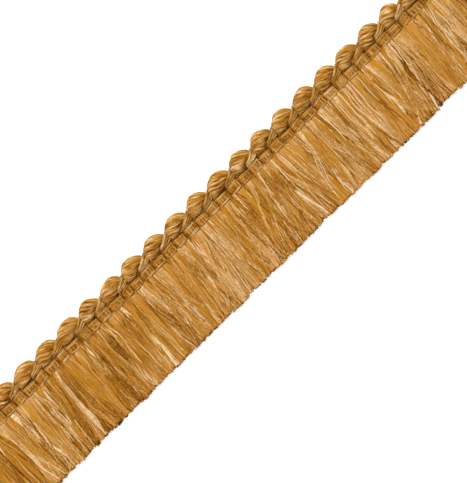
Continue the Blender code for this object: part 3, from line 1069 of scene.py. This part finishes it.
# %% The loops' tree
YARNS_PER_LOOP = 7
LOOP_POINTS = 26
LOOP_MM = 18.0
ROOMY_WIDTH = 3.4 * MM
STACK = 0.27 * MM
BEHIND_FROM = 0.62
LOOP_WANDER = {"across": 0.16 * MM, "up": 0.1 * MM}
LOOP_TONE = {"rest": 0.36, "yarn": 0.26, "mottle": 0.4, "behind": 0.1}
LOOP_WARMEST = 0.45
LOOP_SWELL = {"yarn": 0.1, "along": 0.35}


def loops_plan(guides):
    plan = YarnPlan("Loops over the cord")
    loops = plan.named("Loops", BEADS)
    per_loop = plan.named("Yarns per Loop", YARNS_PER_LOOP)
    yarn_radius = plan.named("Yarn Radius", WEFT_RADIUS)
    seed = plan.named("Seed", 41)
    material = plan.named("Material", heading_material)

    yarn, along = plan.spool(LOOP_POINTS)
    loop = plan.floor((yarn + 0.5) / per_loop)
    number = yarn - loop * per_loop
    place = (number + 0.5) / per_loop

    source = plan.node("GeometryNodeObjectInfo")
    source.inputs["Object"].default_value = guides
    edges = []
    for side in (0, 1):
        sample = plan.node("GeometryNodeSampleCurve", mode="FACTOR")
        plan.wire(sample, Curves=source.outputs["Geometry"], Factor=plan.clamped(along), Curve_Index=side)
        split = plan.wire(plan.node("ShaderNodeSeparateXYZ"), Vector=sample.outputs["Position"])
        edges.append([Field(plan, socket) for socket in split.outputs])
    left, right = edges
    width = right[0] - left[0]
    crowd = plan.clamped(1.15 - width / ROOMY_WIDTH)
    stack = (number % 3.0 - 1.0) * STACK * crowd
    wander = plan.waver(loop * 3.1 + place * 2.0, along * 3.0, 1) * LOOP_WANDER["across"]
    neck_x = plan.uneven(START + (loop + NECK_PHASE) * PITCH)
    x = towards(left[0], right[0], place) + neck_x + wander
    behind = plan.math("GREATER_THAN", along, BEHIND_FROM)
    y = towards(left[1], right[1], place) + HEADING_TOP + stack * (1.0 - behind) * along
    z = towards(left[2], right[2], place) + stack * (1.0 - along)
    z = z + plan.waver(loop * 5.7, along * 3.0 + place, 2) * LOOP_WANDER["up"]
    z = plan.math("MAXIMUM", z, yarn_radius + FLOOR_GAP)

    tone = LOOP_TONE["rest"] + plan.scatter(yarn, seed) * LOOP_TONE["yarn"]
    tone = tone + plan.waver(yarn * 7.1, along * 7.0, 3) * LOOP_TONE["mottle"]
    # Painted shade: the yarns grow darker where the loop is drawn into the valley and goes behind the cord.
    tone = tone - plan.clamped(along * 5.0 - 2.4) * LOOP_TONE["behind"]
    warm = plan.scatter(yarn, seed + 1, 0.0, LOOP_WARMEST)
    swell = 1.0 + plan.scatter(yarn, seed + 2) * LOOP_SWELL["yarn"]
    swell = swell + plan.waver(yarn * 3.1, along * 11.0, 4) * LOOP_SWELL["along"]
    plan.sweep(loops * per_loop, LOOP_POINTS, plan.vector(x, y, z), yarn_radius, swell,
               YARN_SIDES, plan.clamped(tone), warm, along * LOOP_MM, material)
    return plan


guides = loop_guides()
spin_yarns(loops_plan(guides), "cord_loops", "heading_band")
bpy.data.objects.remove(guides, do_unlink=True)

# %% [markdown]
# Floor, light and camera
#
# The trimming lies on a plain white floor under soft light. One large lamp stands on the corded side, so the
# beads shade their own lower edge, and the cord's tone adds painted shade there as well. The camera looks
# straight down through a long lens, turned so that the trim climbs to the right.

# %% The floor
FLOOR_REACH = 3.0


def make_floor():
    mesh = bpy.data.meshes.new("floor")
    signs = ((-1, -1), (1, -1), (1, 1), (-1, 1))
    corners = [(x * FLOOR_REACH, y * FLOOR_REACH, 0.0) for x, y in signs]
    mesh.from_pydata(corners, [], [(0, 1, 2, 3)])
    floor = bpy.data.objects.new("floor", mesh)
    bpy.context.scene.collection.objects.link(floor)
    paper = bpy.data.materials.new("white_floor")
    paper.use_nodes = True
    shader = paper.node_tree.nodes["Principled BSDF"]
    shader.inputs["Base Color"].default_value = (0.3, 0.3, 0.3, 1.0)
    shader.inputs["Roughness"].default_value = 0.9
    shader.inputs["Specular IOR Level"].default_value = 0.1
    shader.inputs["Emission Color"].default_value = (1.0, 1.0, 1.0, 1.0)
    shader.inputs["Emission Strength"].default_value = 0.8
    mesh.materials.append(paper)


make_floor()


# %% The light
def make_lamp(name, place, size, watts):
    """A round lamp at a place, turned to face the middle of the trimming."""
    lamp = bpy.data.lights.new(name, "AREA")
    lamp.shape = "DISK"
    lamp.size = size
    lamp.energy = watts
    made = bpy.data.objects.new(name, lamp)
    bpy.context.scene.collection.objects.link(made)
    made.location = place
    made.rotation_euler = (-Vector(place)).to_track_quat("-Z", "Y").to_euler()


make_lamp("key_lamp", place=(-0.15, 0.45, 1.3), size=0.6, watts=26.4)
world = bpy.data.worlds.new("soft_room")
world.use_nodes = True
world.node_tree.nodes["Background"].inputs["Color"].default_value = (1.0, 1.0, 1.0, 1.0)
world.node_tree.nodes["Background"].inputs["Strength"].default_value = 0.22
bpy.context.scene.world = world
bpy.context.scene.view_settings.view_transform = "Standard"

# %% The camera
TRIM_ANGLE = 44.6
FRAME_HEIGHT = 160.5 * MM
AIM = Vector((-1.05 * MM, -2.16 * MM, 0.0))

lens = bpy.data.cameras.new("camera")
lens.lens = 150.0
lens.sensor_width = 36.0
distance = FRAME_HEIGHT * lens.lens / lens.sensor_width
camera = bpy.data.objects.new("camera", lens)
bpy.context.scene.collection.objects.link(camera)
camera.location = AIM + Vector((0.0, 0.0, distance + SKIRT_HEIGHT))
camera.rotation_euler = (0.0, 0.0, -math.radians(TRIM_ANGLE))
bpy.context.scene.camera = camera
print(f"camera {distance:.3f} m above the trim")
